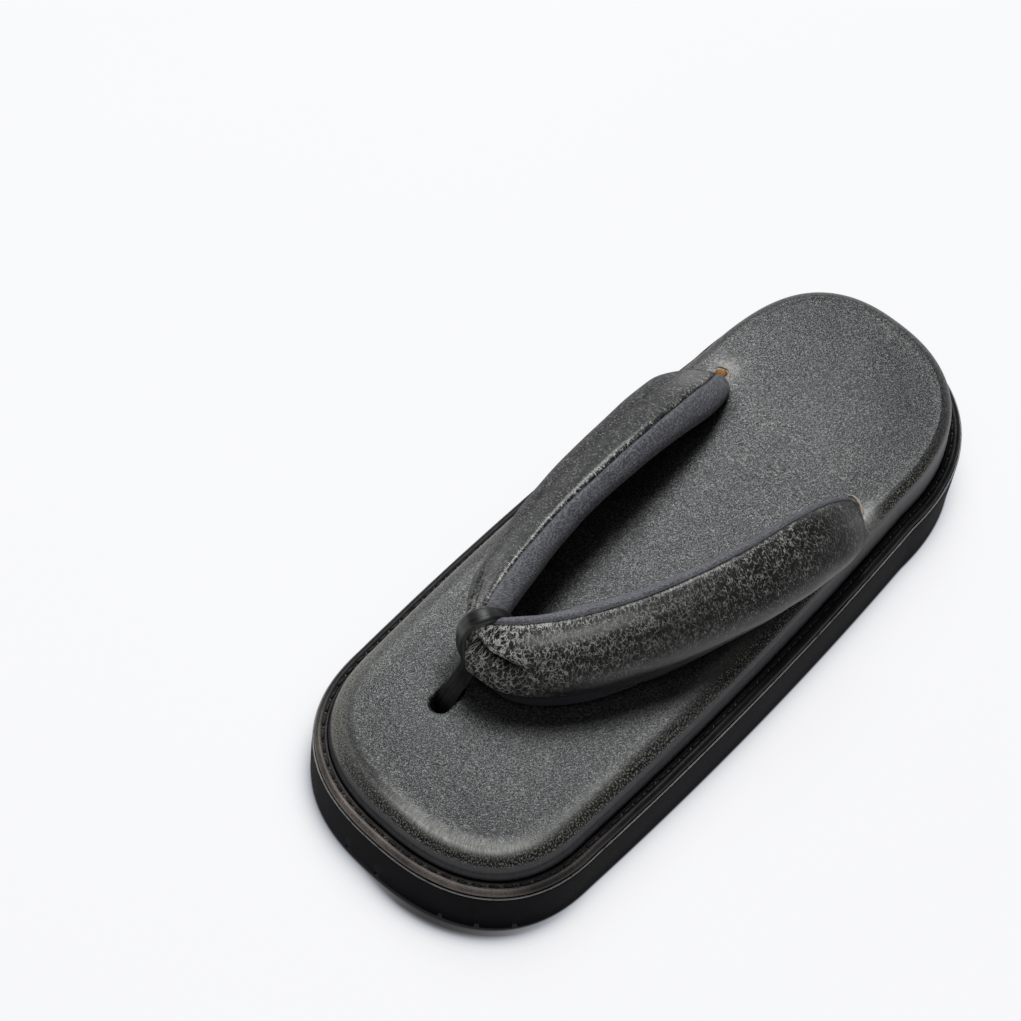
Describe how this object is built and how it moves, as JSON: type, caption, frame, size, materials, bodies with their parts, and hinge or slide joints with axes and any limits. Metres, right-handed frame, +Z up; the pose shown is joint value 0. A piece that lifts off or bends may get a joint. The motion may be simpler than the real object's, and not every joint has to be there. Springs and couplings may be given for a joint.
{
  "type": "setta sandal",
  "caption": "Left setta sandal: thick flat rubber sole, stitched leather welt, padded leather footbed with a round toe and a padded crackled-leather thong strap held by a toe band.",
  "frame": {"origin": "on the ground under the middle of the sole", "axes": "+Y from toe to heel, +X to the lateral side, +Z up"},
  "size_m": [0.1164, 0.281, 0.0735],
  "materials": {
    "sole_rubber": "matte black moulded rubber with a fine light edge line",
    "welt_leather": "satin black leather, burnished brown round the toe, black thread",
    "footbed_leather": "charcoal grained leather with a fine pale speckle, satin",
    "strap_leather": "black leather with a fine pale crackle, dark grey suede lining",
    "band_leather": "smooth satin black leather"
  },
  "bodies": {
    "root": {"outsole": "sole_rubber", "welt": "welt_leather", "footbed": "footbed_leather", "hanao_strap": "strap_leather", "toe_band": "band_leather"}
  },
  "joints": []
}
